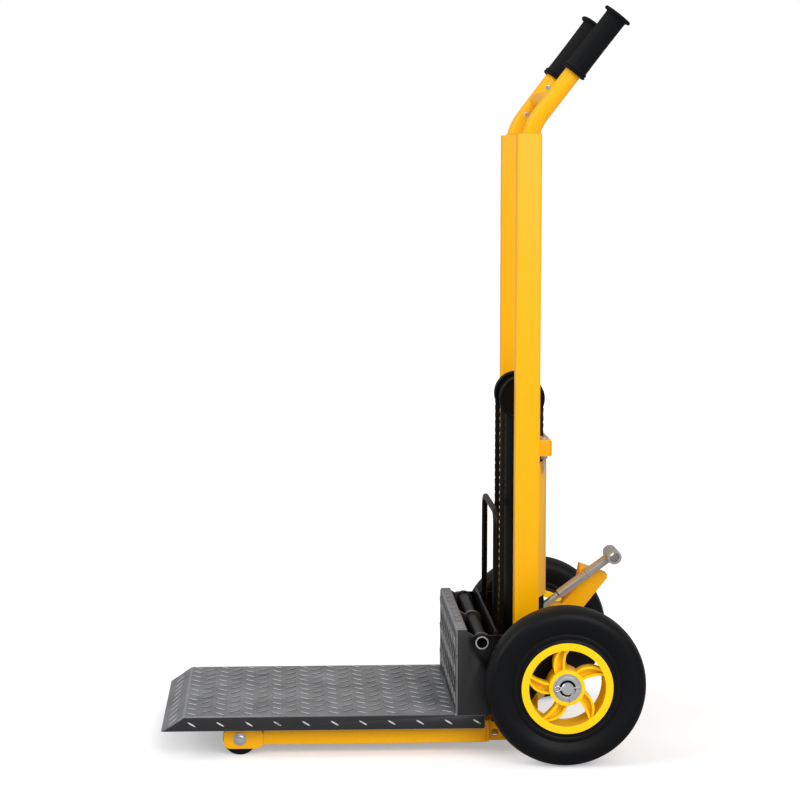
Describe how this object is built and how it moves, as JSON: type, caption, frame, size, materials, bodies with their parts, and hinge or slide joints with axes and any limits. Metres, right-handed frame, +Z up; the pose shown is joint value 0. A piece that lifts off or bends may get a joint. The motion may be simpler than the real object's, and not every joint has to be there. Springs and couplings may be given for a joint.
{
  "type": "manual platform stacker",
  "caption": "Hand-pushed stacker: a folding tread-plate platform rides a tubular mast on chains lifted by a foot-pumped ram, with large swirl-spoked wheels and small front rollers.",
  "frame": {"origin": "on the floor under the middle of the machine's outline, platform down", "axes": "+Z up, -Y the way the platform points, +X to the left of the person who pushes it"},
  "size_m": [0.532, 0.784, 1.2204],
  "materials": {
    "yellow_paint": "gloss powder coat, yellow",
    "rim_yellow": "moulded nylon, lemon yellow",
    "tyre_rubber": "smooth black rubber",
    "grip_rubber": "matt black rubber",
    "zinc_steel": "zinc plated",
    "chromed_rod": "hard chrome, ground",
    "black_paint": "satin black powder coat",
    "pump_casting": "black painted casting",
    "oiled_chain": "dark oiled steel",
    "bare_steel": "turned bare steel",
    "tread_plate": "dark grey paint over raised tread plate",
    "roller_plastic": "black nylon"
  },
  "bodies": {
    "frame": {"mast_column_left": "yellow_paint", "mast_column_right": "yellow_paint", "handle_tube_left": "yellow_paint", "handle_tube_right": "yellow_paint", "handle_grip_left": "grip_rubber", "handle_grip_right": "grip_rubber", "handle_brace": "yellow_paint", "base_beam": "yellow_paint", "base_bracket_left": "yellow_paint", "base_bracket_right": "yellow_paint", "base_leg_left": "yellow_paint", "base_leg_right": "yellow_paint", "roller_forks": "yellow_paint", "front_roller_bolts": "zinc_steel", "wheel_axle": "zinc_steel", "axle_gussets": "yellow_paint", "axle_spacers": "zinc_steel", "axle_washers": "zinc_steel", "split_pins": "zinc_steel", "ram_barrel": "black_paint", "ram_gland": "black_paint", "rear_housing": "yellow_paint", "chain_anchor_bar": "yellow_paint", "chain_anchor_bolts": "zinc_steel", "pump_body": "pump_casting", "pump_pivot_pin": "zinc_steel"},
    "wheel_left": {"tyre_left": "tyre_rubber", "rim_left": "rim_yellow", "wheel_bearings_left": "zinc_steel"},
    "wheel_right": {"tyre_right": "tyre_rubber", "rim_right": "rim_yellow", "wheel_bearings_right": "zinc_steel"},
    "tip_roller_left": {"front_roller_left": "roller_plastic"},
    "tip_roller_right": {"front_roller_right": "roller_plastic"},
    "ram_head": {"ram_rod": "chromed_rod", "crosshead": "black_paint", "chain_rear_left": "oiled_chain", "chain_rear_right": "oiled_chain", "chain_front_left": "oiled_chain", "chain_front_right": "oiled_chain"},
    "pulleys": {"chain_pulleys": "black_paint"},
    "carriage": {"carriage_plate_left": "black_paint", "carriage_plate_right": "black_paint", "pivot_tube": "black_paint", "carriage_crossbar": "black_paint", "guard_loop": "black_paint", "carriage_member": "black_paint", "roller_axles": "zinc_steel", "carriage_bolts": "black_paint"},
    "rollers_behind": {"upper_rollers": "zinc_steel"},
    "rollers_in_front": {"lower_rollers": "zinc_steel"},
    "platform": {"deck": "tread_plate", "platform_back": "tread_plate"},
    "lever": {"pump_lever": "bare_steel", "lever_crosstube": "bare_steel"},
    "pedal": {"foot_pedal": "yellow_paint"}
  },
  "joints": [
    {"name": "platform_lift", "type": "slide", "parent": "frame", "child": "carriage", "axis": [0, 0, 1], "range_m": [0, 0.83]},
    {"name": "crosshead_rise", "type": "slide", "parent": "frame", "child": "ram_head", "axis": [0, 0, 1], "range_m": [0, 0.415], "deforming": ["chain_front_left", "chain_front_right"]},
    {"name": "pulley_turn", "type": "hinge", "parent": "ram_head", "child": "pulleys", "pos_m": [0, 0.208, 0.576], "axis": [1, 0, 0], "continuous": true},
    {"name": "rear_rollers_turn", "type": "hinge", "parent": "carriage", "child": "rollers_behind", "pos_m": [0, 0.2453, 0.184], "axis": [1, 0, 0], "continuous": true},
    {"name": "front_rollers_turn", "type": "hinge", "parent": "carriage", "child": "rollers_in_front", "pos_m": [0, 0.1707, 0.093], "axis": [1, 0, 0], "continuous": true},
    {"name": "platform_fold", "type": "hinge", "parent": "carriage", "child": "platform", "pos_m": [0, 0.13, 0.192], "axis": [-1, 0, 0], "range_deg": [0, 85]},
    {"name": "wheel_left_spin", "type": "hinge", "parent": "frame", "child": "wheel_left", "pos_m": [0.235, 0.262, 0.13], "axis": [1, 0, 0], "continuous": true},
    {"name": "wheel_right_spin", "type": "hinge", "parent": "frame", "child": "wheel_right", "pos_m": [-0.235, 0.262, 0.13], "axis": [1, 0, 0], "continuous": true},
    {"name": "tip_roller_left_spin", "type": "hinge", "parent": "frame", "child": "tip_roller_left", "pos_m": [0.145, -0.264, 0.028], "axis": [1, 0, 0], "continuous": true},
    {"name": "tip_roller_right_spin", "type": "hinge", "parent": "frame", "child": "tip_roller_right", "pos_m": [-0.145, -0.264, 0.028], "axis": [1, 0, 0], "continuous": true},
    {"name": "lever_pump", "type": "hinge", "parent": "frame", "child": "lever", "pos_m": [0.0175, 0.2415, 0.212], "axis": [1, 0, 0], "range_deg": [-35, 0], "stiffness_Nm_per_rad": 1, "springref_deg": 34.38},
    {"name": "pedal_press", "type": "hinge", "parent": "frame", "child": "pedal", "pos_m": [-0.01075, 0.2415, 0.212], "axis": [1, 0, 0], "range_deg": [-12, 0], "stiffness_Nm_per_rad": 1.5, "springref_deg": 22.92}
  ],
  "couplings": [
    {"joint": "crosshead_rise", "follows": "platform_lift", "ratio": 0.5},
    {"joint": "pulley_turn", "follows": "platform_lift", "rad_per_m": -15.461},
    {"joint": "rear_rollers_turn", "follows": "platform_lift", "rad_per_m": 58.824},
    {"joint": "front_rollers_turn", "follows": "platform_lift", "rad_per_m": -58.824}
  ]
}
